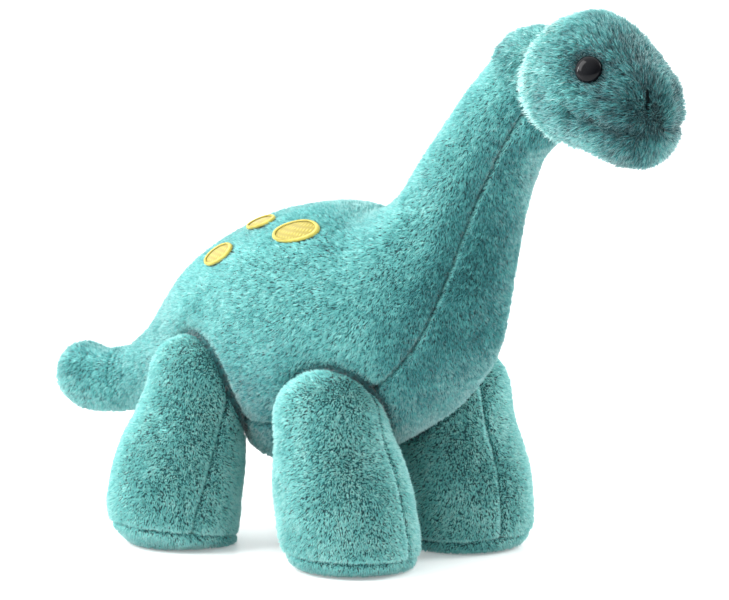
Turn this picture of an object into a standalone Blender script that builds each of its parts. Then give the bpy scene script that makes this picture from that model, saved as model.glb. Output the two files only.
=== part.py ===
"""Stuffed long-necked dinosaur: a sewn plush toy standing on four round legs.

Every fabric panel is an open shell round its own stuffing, cut along the toy's seams.
The head and the four legs are sewn on at the neck end and at the hips and shoulders.
Those five seams flex, so each stuffed end is a ball that sits in a matching socket.
+X is forward, +Y is the toy's left, +Z is up. Sizes in this file are millimetres.
"""

import math

import bmesh
import bpy
import numpy as np

MM = 0.001                  # metres in a millimetre
SKIN = 1.6                  # plush fabric with its short pile
STUFF_GAP = 0.9             # from the fabric's back to the stuffing
SEAM_GAP = 0.35             # between two panels along a seam
SOCKET_GAP = 0.75           # from a ball to its socket
FORWARD = -0.79             # puts the origin under the middle of the toy's length
LEG_SWING = 10.0            # degrees, each way, at a hip or shoulder seam
HEAD_NOD = 12.0             # degrees, each way, at the neck seam

NECK_PIVOT = (77.7, 0.0, 152.0)       # centre of the neck's ball end
NECK_BALL = 14.6
FRONT_PIVOT = (19.1, 26.7, 45.6)      # centre of a shoulder ball, left side
FRONT_BALL = 17.4
REAR_PIVOT = (-39.5, 26.7, 49.6)      # centre of a hip ball, left side
REAR_BALL = 17.0

# The body: a spine from tail tip to neck end. Each station holds X, Z, the section's lean
# in degrees, and its reach above, below and to each side of the spine.
BODY = (
    (-128.5, 39.1, 0, 0.6, 0.6, 0.6),
    (-127.9, 39.1, 0, 6.8, 7.4, 6.2),
    (-124.8, 39.1, 0, 9.9, 10.2, 9.0),
    (-110.5, 38.8, 3, 10.9, 11.2, 10.2),
    (-93.5, 41.5, 16, 11.8, 12.1, 11.2),
    (-80.1, 47.1, 26, 14.3, 15.5, 14.0),
    (-64.0, 55.2, 26, 20.5, 23.6, 20.5),
    (-47.0, 62.0, 18, 29.1, 32.2, 27.9),
    (-28.4, 65.7, 8, 35.3, 40.3, 32.9),
    (-6.7, 67.6, 2, 39.4, 41.5, 34.7),
    (16.0, 73.2, 18, 36.0, 37.2, 32.9),
    (30.8, 83.7, 40, 29.5, 32.2, 27.9),
    (42.3, 100.8, 55, 22.3, 24.5, 21.1),
    (52.2, 117.8, 57, 18.0, 19.2, 17.4),
    (60.9, 131.4, 54, 15.8, 16.7, 15.5),
    (69.9, 143.2, 50, 14.9, 14.9, 14.9),
)
# The neck's ball end, as steps of arc from the pivot's own section to its pole
BALL_STEPS = (0.0, 22.0, 44.0, 64.0, 80.0, 88.0)

# The head, from its back to the nose, in the same columns
HEAD = (
    (84.5, 150.8, 6, 14.6, 14.6, 13.6),
    (87.0, 151.3, 4, 19.5, 17.7, 18.0),
    (94.1, 151.6, 0, 22.0, 18.9, 19.8),
    (102.5, 151.0, 0, 23.2, 19.2, 20.5),
    (111.1, 148.8, -3, 21.7, 19.2, 18.9),
    (118.0, 146.0, -7, 17.7, 17.7, 16.7),
    (122.9, 143.5, -11, 14.0, 14.9, 14.0),
    (126.6, 141.7, -13, 8.7, 10.2, 9.6),
    (128.4, 140.8, -13, 2.9, 3.4, 3.4),
    (128.6, 140.7, -13, 0.5, 0.5, 0.5),
)

# Legs, bottom to ball: height, X, Y, reach in X, reach in Y, outward lift in degrees
FRONT_LEG = (
    (0.0, 25.3, 25.4, 13.0, 13.0, 0),
    (0.9, 25.3, 25.4, 18.0, 18.0, 2),
    (4.0, 25.3, 25.4, 21.4, 20.8, 2),
    (10.9, 24.7, 25.7, 22.9, 22.0, 1),
    (20.2, 23.4, 26.4, 22.6, 21.4, 0),
    (31.0, 21.2, 26.7, 20.8, 19.5, 0),
    (40.0, 19.6, 26.7, 18.2, 17.7, 0),
)
REAR_LEG = (
    (0.0, -40.1, 37.2, 12.4, 12.4, 0),
    (0.9, -40.1, 37.2, 17.1, 17.4, 8),
    (4.0, -40.5, 37.2, 20.5, 20.2, 8),
    (10.9, -40.5, 37.2, 22.0, 21.7, 7),
    (20.2, -39.8, 36.3, 22.0, 21.1, 5),
    (31.0, -39.8, 33.9, 20.6, 19.2, 3),
    (42.0, -39.6, 29.6, 17.9, 17.4, 0),
)

CHEST_SEAM = 223.0          # where the chest and belly gusset's edge lies round the body
CHIN_SEAM = 232.0
EYE_AT = (112.1, 16.3, 159.4)
EYE_AXIS = (0.37, 0.84, 0.40)
EYE_R = 4.1
SHANK_R = 1.4
SHANK_LONG = 8.0
WASHER_R = 4.8
NOSTRIL = ((126.6, 5.6, 153.6), (127.6, 6.2, 150.6), (128.2, 6.8, 147.2))
SMILE = ((107.2, 19.3, 145.6), (111.9, 18.1, 144.0), (116.9, 16.7, 142.8), (123.4, 13.1, 141.3),
         (126.9, 8.6, 140.9), (128.4, 3.3, 141.1), (128.5, 0.0, 141.2))
# Spots on each side of the back: part of the spine's length, angle round, half length, half width
SPOTS = (("a", 0.497, 54.0, 9.3, 4.6), ("b", 0.386, 46.5, 6.9, 3.8), ("c", 0.423, 65.5, 6.0, 3.1))

TEAL = (0.13, 0.42, 0.40)
TEAL_HEAD = (0.10, 0.38, 0.37)
YELLOW = (0.82, 0.65, 0.07)
BLACK = (0.004, 0.004, 0.005)
THREAD = (0.02, 0.10, 0.11)
FIBRE = (0.85, 0.85, 0.83)


def smooth_rows(ts, rows, t):
    """Reads a smooth curve through the stations at each t."""
    ts = np.asarray(ts, float)
    rows = np.asarray(rows, float)
    step = np.diff(ts)[:, None]
    slope = np.diff(rows, axis=0) / step
    m = np.zeros_like(rows)
    m[1:-1] = (slope[:-1] * step[1:] + slope[1:] * step[:-1]) / (step[1:] + step[:-1])
    m[0] = slope[0]
    m[-1] = slope[-1]
    t = np.clip(np.atleast_1d(np.asarray(t, float)), ts[0], ts[-1])
    i = np.clip(np.searchsorted(ts, t, side="right") - 1, 0, len(ts) - 2)
    h = (ts[i + 1] - ts[i])[:, None]
    u = (t - ts[i])[:, None] / h
    return ((2 * u**3 - 3 * u**2 + 1) * rows[i] + (u**3 - 2 * u**2 + u) * h * m[i]
            + (3 * u**2 - 2 * u**3) * rows[i + 1] + (u**3 - u**2) * h * m[i + 1])


class Form:
    """A rounded form: t runs 0 to 1 from one end to the other, angle runs round it."""

    def __init__(self, stations, kind):
        self.rows = np.asarray(stations, float)
        self.kind = kind
        a = self.rows
        if kind == "spine":
            d = np.hypot(np.diff(a[:, 0]), np.diff(a[:, 1])) + 0.35 * np.abs(np.diff(a[:, 3]))
        else:
            d = np.abs(np.diff(a[:, 0])) + 0.7 * np.abs(np.diff(a[:, 3]))
        self.d = np.r_[0, np.cumsum(d)]

    def t_of(self, station):
        return self.d[station] / self.d[-1]

    def point(self, t, degrees):
        r = smooth_rows(self.d, self.rows, np.asarray(t) * self.d[-1])
        th = np.radians(np.asarray(degrees, float))
        c, s = np.cos(th), np.sin(th)
        lean = np.radians(r[:, 2] if self.kind == "spine" else r[:, 5])
        if self.kind == "spine":
            reach = np.where(s >= 0, r[:, 3], r[:, 4])
            v = np.maximum(reach, 0.3) * s
            return np.stack([r[:, 0] - np.sin(lean) * v, np.maximum(r[:, 5], 0.3) * c,
                             r[:, 1] + np.cos(lean) * v], -1)
        q = np.maximum(r[:, 4], 0.3) * s
        return np.stack([r[:, 1] + np.maximum(r[:, 3], 0.3) * c, r[:, 2] + q * np.cos(lean),
                         np.maximum(r[:, 0] + q * np.sin(lean), 0.0)], -1)

    def at(self, t, degrees, out=0.0):
        """Points on the surface, moved out along its normal by out millimetres."""
        t, degrees = np.broadcast_arrays(np.asarray(t, float), np.asarray(degrees, float))
        shape = t.shape
        t, degrees = t.ravel(), degrees.ravel()
        p = self.point(t, degrees)
        e = 0.004
        along = self.point(np.minimum(t + e, 1), degrees) - self.point(np.maximum(t - e, 0), degrees)
        round_ = self.point(t, degrees + 2) - self.point(t, degrees - 2)
        n = np.cross(round_, along)
        n /= np.linalg.norm(n, axis=1)[:, None] + 1e-12
        return (p + n * out).reshape(shape + (3,))

    def normal(self, t, degrees):
        return (self.at(t, degrees, 1.0) - self.at(t, degrees, 0.0)).reshape(-1, 3)[0]


def ball_end(stations, pivot, radius, lean):
    """Adds a half ball round the pivot to the end of a spine."""
    out = list(stations)
    a = math.radians(90 - lean)
    for deg in BALL_STEPS:
        along = radius * math.sin(math.radians(deg))
        r = radius * math.cos(math.radians(deg))
        out.append((pivot[0] + along * math.sin(a), pivot[2] + along * math.cos(a), lean, r, r, r))
    return out


def ball_top(stations, pivot, radius):
    """Adds the upper half of a ball to a leg."""
    out = list(stations)
    for deg in BALL_STEPS:
        r = radius * math.cos(math.radians(deg))
        out.append((pivot[2] + radius * math.sin(math.radians(deg)), pivot[0], pivot[1], r, r, 0))
    return out


def to_world(points, mirror=False):
    p = np.array(points, float)
    p[..., 0] += FORWARD
    if mirror:
        p[..., 1] = -p[..., 1]
    return p


def make_object(name, verts, faces, material, mirror=False, smooth=True):
    """One named object from points in millimetres, its faces turned outwards."""
    mesh = bpy.data.meshes.new(name)
    mesh.from_pydata((to_world(verts, mirror) * MM).tolist(), [], [list(map(int, f)) for f in faces])
    bm = bmesh.new()
    bm.from_mesh(mesh)
    bmesh.ops.remove_doubles(bm, verts=bm.verts, dist=0.00002)
    bmesh.ops.recalc_face_normals(bm, faces=bm.faces)
    bm.to_mesh(mesh)
    bm.free()
    obj = bpy.data.objects.new(name, mesh)
    bpy.context.scene.collection.objects.link(obj)
    if material is not None:
        mesh.materials.append(material)
    if smooth:
        mesh.shade_smooth()
        mesh.set_sharp_from_angle(angle=math.radians(40))
    return obj


def quads(idx, wrap=False):
    """Faces of a grid of point numbers, closed round its second direction if wrap is set."""
    right = np.roll(idx, -1, axis=1) if wrap else idx[:, 1:]
    left = idx if wrap else idx[:, :-1]
    return [tuple(q) for a in range(len(idx) - 1)
            for q in np.stack([left[a], right[a], right[a + 1], left[a + 1]], -1)]


def panel(form, ts, low, high, columns, thickness=SKIN, out=0.0):
    """A panel of fabric: part of a form between two angles, as a closed shell."""
    ts = np.asarray(ts, float)
    lo = np.array([low(t) if callable(low) else low for t in ts])
    hi = np.array([high(t) if callable(high) else high for t in ts])
    deg = lo[:, None] + (hi - lo)[:, None] * np.linspace(0, 1, columns + 1)[None, :]
    tt = np.broadcast_to(ts[:, None], deg.shape)
    outer = form.at(tt, deg, out)
    inner = form.at(tt, deg, out - thickness)
    # the seam allowance: the panel's edges stop short of the seam
    for grid in (outer, inner):
        for edge, mate in ((0, 1), (-1, -2)):
            step = grid[:, mate] - grid[:, edge]
            size = np.linalg.norm(step, axis=1)[:, None] + 1e-9
            grid[:, edge] += step / size * np.minimum(SEAM_GAP / 2, size * 0.4)
    n, m = deg.shape
    a = np.arange(n * m).reshape(n, m)
    b = a + n * m
    faces = quads(a) + [f[::-1] for f in quads(b)]
    ring = [*a[0], *a[1:, -1], *a[-1, -2::-1], *a[-2:0:-1, 0]]
    for i, v in enumerate(ring):
        w = ring[(i + 1) % len(ring)]
        faces.append((v, w, w + n * m, v + n * m))
    return np.vstack([outer.reshape(-1, 3), inner.reshape(-1, 3)]), faces


def solid(form, ts, columns, out):
    """A closed stuffed form, moved in from the surface."""
    ts = np.asarray(ts, float)
    deg = np.linspace(0, 360, columns, endpoint=False)
    grid = form.at(ts[:, None] + 0 * deg[None, :], deg[None, :] + 0 * ts[:, None], out)
    n, m = grid.shape[:2]
    idx = np.arange(n * m).reshape(n, m)
    verts = np.vstack([grid.reshape(-1, 3), grid[0].mean(0), grid[-1].mean(0)])
    faces = quads(idx, wrap=True)
    for i in range(m):
        j = (i + 1) % m
        faces.append((n * m, idx[0, j], idx[0, i]))
        faces.append((n * m + 1, idx[-1, i], idx[-1, j]))
    return verts, faces


def dish(form, t_edge, rows, columns):
    """The round sole: a shallow dish of fabric, flat underneath."""
    ts = np.linspace(0, t_edge, rows + 1)
    deg = np.linspace(0, 360, columns, endpoint=False)
    grid_t = ts[:, None] + 0 * deg[None, :]
    grid_d = deg[None, :] + 0 * ts[:, None]
    outer = form.at(grid_t, grid_d, 0)
    inner = form.at(grid_t, grid_d, -SKIN)
    inner[0] = outer[0] + np.array([0, 0, SKIN])
    inner[..., 2] = np.maximum(inner[..., 2], SKIN)
    n, m = outer.shape[:2]
    a = np.arange(n * m).reshape(n, m)
    b = a + n * m
    verts = np.vstack([outer.reshape(-1, 3), inner.reshape(-1, 3), outer[0].mean(0), inner[0].mean(0)])
    faces = quads(a, wrap=True) + [f[::-1] for f in quads(b, wrap=True)]
    for i in range(m):
        j = (i + 1) % m
        faces.append((2 * n * m, a[0, j], a[0, i]))
        faces.append((2 * n * m + 1, b[0, i], b[0, j]))
        faces.append((a[-1, i], a[-1, j], b[-1, j], b[-1, i]))
    return verts, faces


def turned(profile, origin, axis, columns=16):
    """A solid of revolution from (distance along the axis, radius) pairs, ends on the axis."""
    z = np.asarray(axis, float)
    z /= np.linalg.norm(z)
    x = np.cross(z, (0, 0, 1.0))
    x /= np.linalg.norm(x)
    y = np.cross(z, x)
    ang = np.linspace(0, 2 * math.pi, columns, endpoint=False)
    rings = [np.asarray(origin) + z * h + r * (np.cos(ang)[:, None] * x + np.sin(ang)[:, None] * y)
             for h, r in profile]
    verts = np.vstack([*rings, np.asarray(origin) + z * profile[0][0],
                       np.asarray(origin) + z * profile[-1][0]])
    m = columns
    idx = np.arange(len(profile) * m).reshape(len(profile), m)
    faces = quads(idx, wrap=True)
    for i in range(m):
        j = (i + 1) % m
        faces.append((len(profile) * m, idx[0, j], idx[0, i]))
        faces.append((len(profile) * m + 1, idx[-1, i], idx[-1, j]))
    return verts, faces


def washer(origin, axis, inner_r, outer_r, near, far, columns=16):
    """A flat ring."""
    z = np.asarray(axis, float)
    z /= np.linalg.norm(z)
    x = np.cross(z, (0, 0, 1.0))
    x /= np.linalg.norm(x)
    y = np.cross(z, x)
    ang = np.linspace(0, 2 * math.pi, columns, endpoint=False)
    ring = np.cos(ang)[:, None] * x + np.sin(ang)[:, None] * y
    loops = [np.asarray(origin) + z * h + r * ring
             for h, r in ((near, inner_r), (near, outer_r), (far, outer_r), (far, inner_r))]
    m = columns
    faces = []
    for k in range(4):
        for i in range(m):
            j = (i + 1) % m
            n = (k + 1) % 4
            faces.append((k * m + i, k * m + j, n * m + j, n * m + i))
    return np.vstack(loops), faces


def tube(path, radius, sides=6):
    """A stitched thread along a path, with pointed ends."""
    path = np.asarray(path, float)
    tan = np.gradient(path, axis=0)
    tan /= np.linalg.norm(tan, axis=1)[:, None]
    up = np.array([0, 0, 1.0])
    rings = []
    ang = np.linspace(0, 2 * math.pi, sides, endpoint=False)
    for p, t in zip(path, tan):
        x = np.cross(t, up)
        if np.linalg.norm(x) < 0.2:
            x = np.cross(t, (1.0, 0, 0))
        x /= np.linalg.norm(x)
        y = np.cross(t, x)
        rings.append(p + radius * (np.cos(ang)[:, None] * x + np.sin(ang)[:, None] * y))
    n = len(path)
    idx = np.arange(n * sides).reshape(n, sides)
    verts = np.vstack([*rings, path[0] - tan[0] * radius, path[-1] + tan[-1] * radius])
    faces = quads(idx, wrap=True)
    for i in range(sides):
        j = (i + 1) % sides
        faces.append((n * sides, idx[0, j], idx[0, i]))
        faces.append((n * sides + 1, idx[-1, i], idx[-1, j]))
    return verts, faces


def spot(form, t, deg, half_long, half_wide, columns=14):
    """An oval patch of stitched cloth that lies on the back, just clear of the fabric."""
    e = 0.002
    per_t = np.linalg.norm(form.point([t + e], [deg])[0] - form.point([t - e], [deg])[0]) / (2 * e)
    per_deg = np.linalg.norm(form.point([t], [deg + 1])[0] - form.point([t], [deg - 1])[0]) / 2
    ang = np.linspace(0, 2 * math.pi, columns, endpoint=False)
    layers = []
    for out in (0.35, 1.0):
        for share in (1.0, 0.5):
            layers.append(form.at(t + half_long * share * np.cos(ang) / per_t,
                                  deg + half_wide * share * np.sin(ang) / per_deg, out))
        layers.append(form.at([t], [deg], out))
    m = columns
    verts = np.vstack(layers)
    base = 2 * m + 1
    faces = []
    for i in range(m):
        j = (i + 1) % m
        for o, flip in ((0, False), (base, True)):
            q = (o + i, o + j, o + m + j, o + m + i)
            c = (o + m + i, o + m + j, o + 2 * m)
            faces += [q[::-1], c[::-1]] if flip else [q, c]
        faces.append((i, base + i, base + j, j))
    return verts, faces


def add_material(name, colour, roughness, metallic=0.0, sheen=0.0):
    mat = bpy.data.materials.new(name)
    mat.use_nodes = True
    bsdf = mat.node_tree.nodes["Principled BSDF"]
    bsdf.inputs["Base Color"].default_value = (*colour, 1.0)
    bsdf.inputs["Roughness"].default_value = roughness
    bsdf.inputs["Metallic"].default_value = metallic
    bsdf.inputs["Sheen Weight"].default_value = sheen
    return mat


def cut(obj, cutter):
    mod = obj.modifiers.new("cut_" + cutter.name, "BOOLEAN")
    mod.operation = "DIFFERENCE"
    mod.solver = "EXACT"
    mod.object = cutter


def make_cutter(name, verts, faces, mirror=False):
    obj = make_object(name, verts, faces, None, mirror, smooth=False)
    obj.hide_render = True
    obj.display_type = "WIRE"
    return obj


def empty_at(name, place):
    obj = bpy.data.objects.new(name, None)
    obj.empty_display_size = 0.01
    obj.location = [float(c) for c in to_world(place) * MM]
    bpy.context.scene.collection.objects.link(obj)
    return obj


def hang_on(objects, empty):
    """Parents pieces to their joint's empty, with their origins on it."""
    for obj in objects:
        obj.data.transform(empty.matrix_basis.inverted())
        obj.parent = empty


def mirrored(place):
    return (place[0], -place[1], place[2])


def build():
    for obj in list(bpy.data.objects):
        bpy.data.objects.remove(obj, do_unlink=True)

    plush = add_material("plush_teal", TEAL, 0.9, sheen=0.6)
    long_plush = add_material("plush_head", TEAL_HEAD, 0.85, sheen=0.6)
    stitched = add_material("spot_yellow", YELLOW, 0.7, sheen=0.2)
    gloss = add_material("eye_black", BLACK, 0.06)
    thread = add_material("thread_dark", THREAD, 0.8)
    fibre = add_material("stuffing_white", FIBRE, 1.0)
    nylon = add_material("washer_white", (0.75, 0.75, 0.74), 0.45)

    body = Form(ball_end(BODY, NECK_PIVOT, NECK_BALL, 48), "spine")
    head = Form(HEAD, "spine")
    front = Form(ball_top(FRONT_LEG, FRONT_PIVOT, FRONT_BALL), "leg")
    rear = Form(ball_top(REAR_LEG, REAR_PIVOT, REAR_BALL), "leg")

    # Sockets. A leg's cutter is its ball and the sweep of its tube over the seam's range.
    def leg_cutter(form_rows, pivot, ball, side_name, mirror):
        grown, shifts = [], []
        swing = math.tan(math.radians(LEG_SWING + 1.0))
        table = np.asarray(form_rows, float)
        for z, x, y, rx, ry, _ in form_rows[3:]:
            drop = max(pivot[2] - z, 0)
            # as the tube swings its front and back edges rise, and bring a lower section with them
            rise = rx * swing * min(drop / 10, 1.0)
            low_x, low_y, low_rx, low_ry = smooth_rows(table[:, 0], table[:, 1:5], [z - rise])[0]
            inner = min(y - ry, low_y - low_ry)
            outer = max(y + ry, low_y + low_ry)
            grown.append((z, x, (inner + outer) / 2, max(rx, low_rx) + abs(low_x - x) + SOCKET_GAP,
                          (outer - inner) / 2 + SOCKET_GAP, 0))
            shifts.append(drop * swing)
        r = ball + SOCKET_GAP
        for deg in (0.0, 22.0, 44.0, 64.0, 80.0):
            rr = r * math.cos(math.radians(deg))
            grown.append((pivot[2] + r * math.sin(math.radians(deg)), pivot[0], pivot[1], rr, rr, 0))
            shifts.append(0.0)
        form = Form(grown, "leg")
        stations = [form.t_of(i) for i in range(len(grown))]
        columns = 20
        v, f = solid(form, stations, columns, 0.0)
        # the front half of each section sweeps forwards and the back half backwards
        way = np.clip(3 * np.cos(np.linspace(0, 2 * math.pi, columns, endpoint=False)), -1, 1)
        v[:len(grown) * columns, 0] += (np.array(shifts)[:, None] * way[None, :]).ravel()
        return make_cutter("socket_" + side_name, v, f, mirror)

    sockets = {
        "front_left": leg_cutter(FRONT_LEG, FRONT_PIVOT, FRONT_BALL, "front_left", False),
        "front_right": leg_cutter(FRONT_LEG, FRONT_PIVOT, FRONT_BALL, "front_right", True),
        "rear_left": leg_cutter(REAR_LEG, REAR_PIVOT, REAR_BALL, "rear_left", False),
        "rear_right": leg_cutter(REAR_LEG, REAR_PIVOT, REAR_BALL, "rear_right", True),
    }

    # The neck's cutter: its ball end and the sweep of the neck over the nod's range
    nod = math.tan(math.radians(HEAD_NOD))
    grown = []
    for x, z, lean, up, down, side in BODY[11:]:
        away = math.hypot(x - NECK_PIVOT[0], z - NECK_PIVOT[2])
        grown.append((x, z, lean, up + away * nod + SOCKET_GAP, down + away * nod + SOCKET_GAP,
                      side + SOCKET_GAP))
    grown = ball_end(grown, NECK_PIVOT, NECK_BALL + SOCKET_GAP, 48)
    neck_form = Form(grown, "spine")
    v, f = solid(neck_form, [neck_form.t_of(i) for i in range(len(grown))], 20, 0.0)
    neck_socket = make_cutter("socket_neck", v, f)

    # Body: two side panels that meet along the back, and a gusset from throat to belly.
    t_tail = body.t_of(5)
    t_belly = body.t_of(7)

    def gusset_edge(t):
        """The seam's angle on the right side: it closes to a point under the tail."""
        share = min(max((t - t_tail) / (t_belly - t_tail), 0.0), 1.0)
        share = share * share * (3 - 2 * share)
        return 270 - (270 - CHEST_SEAM) * share

    side_rows = [body.t_of(0), body.t_of(1), body.t_of(2)]
    side_rows += list(np.linspace(body.t_of(2), 1.0, 29)[1:])
    right = panel(body, side_rows, 90, gusset_edge, 8)
    left = panel(body, side_rows, lambda t: 540 - gusset_edge(t) - 360, 90, 8)
    body_right = make_object("body_right_panel", *right, plush)
    body_left = make_object("body_left_panel", *left, plush)
    belly_rows = np.linspace(t_tail + 0.012, 1.0, 24)
    chest = make_object("chest_belly_panel", *panel(body, belly_rows, gusset_edge,
                                                    lambda t: 540 - gusset_edge(t), 6), plush)
    stuff_rows = [0.004, body.t_of(1), body.t_of(2)] + list(np.linspace(body.t_of(2), 1.0, 21)[1:])
    stuffing = make_object("body_stuffing", *solid(body, stuff_rows, 16, -SKIN - STUFF_GAP), fibre)
    for obj in (body_right, body_left, chest, stuffing):
        for cutter in sockets.values():
            cut(obj, cutter)

    for key, t, deg, half_long, half_wide in SPOTS:
        v, f = spot(body, t, deg, half_long, half_wide)
        make_object("spot_left_" + key, v, f, stitched)
        make_object("spot_right_" + key, v, f, stitched, mirror=True)

    # Head: two side panels, a chin panel and stuffing with the neck's socket.
    head_rows = [head.t_of(i) for i in range(len(HEAD))]
    head_rows = sorted(head_rows + [(a + b) / 2 for a, b in zip(head_rows[1:6], head_rows[2:7])])
    nod_axis = empty_at("joint_neck", NECK_PIVOT)
    head_right = make_object("head_right_panel", *panel(head, head_rows, 90, CHIN_SEAM, 8), long_plush)
    head_left = make_object("head_left_panel", *panel(head, head_rows, 540 - CHIN_SEAM - 360, 90, 8),
                            long_plush)
    chin = make_object("chin_panel", *panel(head, head_rows, CHIN_SEAM, 540 - CHIN_SEAM, 4), long_plush)
    head_stuff = make_object("head_stuffing", *solid(head, head_rows[:-1], 16, -SKIN - STUFF_GAP), fibre)
    for obj in (head_right, head_left, chin, head_stuff):
        cut(obj, neck_socket)

    # Eyes: a domed button on a shank, held by a washer behind the fabric.
    dome = [(-SHANK_LONG, SHANK_R), (0.35, SHANK_R), (0.35, EYE_R - 0.35), (0.65, EYE_R)]
    dome += [(0.65 + 2.5 * math.sin(a), EYE_R * math.cos(a)) for a in np.radians((22, 44, 64, 80))]
    shank_hole = [(-SHANK_LONG - 0.5, SHANK_R + 0.35), (3.0, SHANK_R + 0.35)]
    washer_hole = [(-4.4, WASHER_R + 0.4), (3.0, WASHER_R + 0.4)]
    head_pieces = [head_right, head_left, chin, head_stuff]
    for side, mirror, skin in (("left", False, head_left), ("right", True, head_right)):
        eye = make_object("eye_" + side, *turned(dome, EYE_AT, EYE_AXIS), gloss, mirror)
        ring = make_object("eye_washer_" + side,
                           *washer(EYE_AT, EYE_AXIS, SHANK_R + 0.35, WASHER_R, -4.0, -3.0),
                           nylon, mirror, smooth=False)
        hole = make_cutter("hole_shank_" + side, *turned(shank_hole, EYE_AT, EYE_AXIS), mirror)
        seat = make_cutter("hole_washer_" + side, *turned(washer_hole, EYE_AT, EYE_AXIS), mirror)
        cut(skin, hole)
        cut(head_stuff, hole)
        cut(head_stuff, seat)
        head_pieces += [eye, ring, hole, seat]

    # Stitched face: a nostril each side and the smile that runs round under the nose.
    tt, dd = np.meshgrid(np.linspace(0.02, 0.98, 240), np.linspace(0, 360, 240, endpoint=False))
    skin_points = head.at(tt, dd, 0.0).reshape(-1, 3)
    skin_out = head.at(tt, dd, 1.0).reshape(-1, 3) - skin_points

    def proud(points, out):
        """The nearest places on the head's surface, moved out from it."""
        p = np.asarray(points, float)
        near = ((p[:, None, :] - skin_points[None, :, :]) ** 2).sum(-1).argmin(1)
        return skin_points[near] + skin_out[near] * out

    for side, mirror in (("left", False), ("right", True)):
        v, f = tube(proud(NOSTRIL, 0.85), 0.5)
        head_pieces.append(make_object("nostril_stitch_" + side, v, f, thread, mirror))
    path = list(SMILE) + [mirrored(p) for p in SMILE[-2::-1]]
    path = smooth_rows(range(len(path)), path, np.linspace(0, len(path) - 1, 23))
    head_pieces.append(make_object("smile_stitch", *tube(proud(path, 0.75), 0.4), thread))
    hang_on(head_pieces, nod_axis)

    # Legs: outer and inner panel, sole and stuffing.
    def front_seam(t):
        return -14.0

    def rear_seam(t):
        return 32.0 - 24.0 * min(t / 0.6, 1.0)

    for place, form, pivot, seam in (("front", front, FRONT_PIVOT, front_seam),
                                     ("rear", rear, REAR_PIVOT, rear_seam)):
        t_sole = form.t_of(2)
        top = form.t_of(len(form.rows) - 1)
        gap = 0.2 / form.d[-1] * 2
        rows = list(np.linspace(t_sole + gap, form.t_of(7), 7)) + [form.t_of(i) for i in (8, 9, 10, 11)]
        rows.append(top)
        outer = panel(form, rows, seam, 180, 7)
        inner = panel(form, rows, 180, lambda t, s=seam: 360 + s(t), 7)
        sole = dish(form, t_sole - gap, 3, 18)
        stuff_rows = [form.t_of(1), form.t_of(2), form.t_of(3), form.t_of(4), form.t_of(5), form.t_of(7),
                      form.t_of(8), form.t_of(9), form.t_of(10), form.t_of(11)]
        stuff = solid(form, stuff_rows, 16, -SKIN - STUFF_GAP - 0.4)
        stuff[0][:, 2] = np.maximum(stuff[0][:, 2], SKIN + 0.5)
        for side, mirror in (("left", False), ("right", True)):
            name = "leg_" + place + "_" + side
            empty = empty_at("joint_" + name, mirrored(pivot) if mirror else pivot)
            pieces = [
                make_object(name + "_outer_panel", *outer, plush, mirror),
                make_object(name + "_inner_panel", *inner, plush, mirror),
                make_object(name + "_sole", *sole, plush, mirror),
                make_object(name + "_stuffing", *stuff, fibre, mirror),
            ]
            hang_on(pieces, empty)


build()
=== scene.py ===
"""Looks for the stuffed long-necked dinosaur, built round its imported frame.

Lengths in this file are millimetres, in the frame's own axes: +X forward, +Y the toy's left,
+Z up. The plush is a fine skin for each sewn panel, with its pile as real tufts on it.
"""
import math

import bpy
import numpy as np
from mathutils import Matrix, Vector
from mathutils.bvhtree import BVHTree


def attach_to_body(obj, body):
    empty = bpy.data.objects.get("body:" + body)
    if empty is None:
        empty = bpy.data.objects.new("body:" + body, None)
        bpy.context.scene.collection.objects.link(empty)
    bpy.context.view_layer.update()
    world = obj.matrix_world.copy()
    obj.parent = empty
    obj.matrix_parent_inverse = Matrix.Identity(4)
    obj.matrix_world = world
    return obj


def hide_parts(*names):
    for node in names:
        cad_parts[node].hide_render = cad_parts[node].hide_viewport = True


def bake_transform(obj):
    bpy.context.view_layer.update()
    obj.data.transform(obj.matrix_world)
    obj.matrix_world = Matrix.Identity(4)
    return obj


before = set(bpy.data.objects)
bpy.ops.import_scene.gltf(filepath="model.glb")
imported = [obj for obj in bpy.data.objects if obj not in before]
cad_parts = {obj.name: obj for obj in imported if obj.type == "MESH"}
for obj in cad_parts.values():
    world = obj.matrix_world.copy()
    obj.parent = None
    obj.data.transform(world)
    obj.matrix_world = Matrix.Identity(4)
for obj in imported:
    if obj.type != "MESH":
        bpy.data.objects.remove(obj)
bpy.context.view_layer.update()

MM = 0.001
FORWARD = -0.79
rng = np.random.default_rng(20)
# The forms are the toy's outline with its pile on, so the cloth lies this far inside them
BODY_INSET = 0.95
HEAD_INSET = 1.75

# ---------------------------------------------------------------- the toy's forms
NECK_PIVOT = (77.7, 0.0, 152.0)
NECK_BALL = 14.6
NECK_LEAN = 48         # degrees, at the neck's round end
FRONT_PIVOT = (19.1, 26.7, 45.6)
FRONT_BALL = 17.4
REAR_PIVOT = (-39.5, 26.7, 49.6)
REAR_BALL = 17.0
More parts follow.
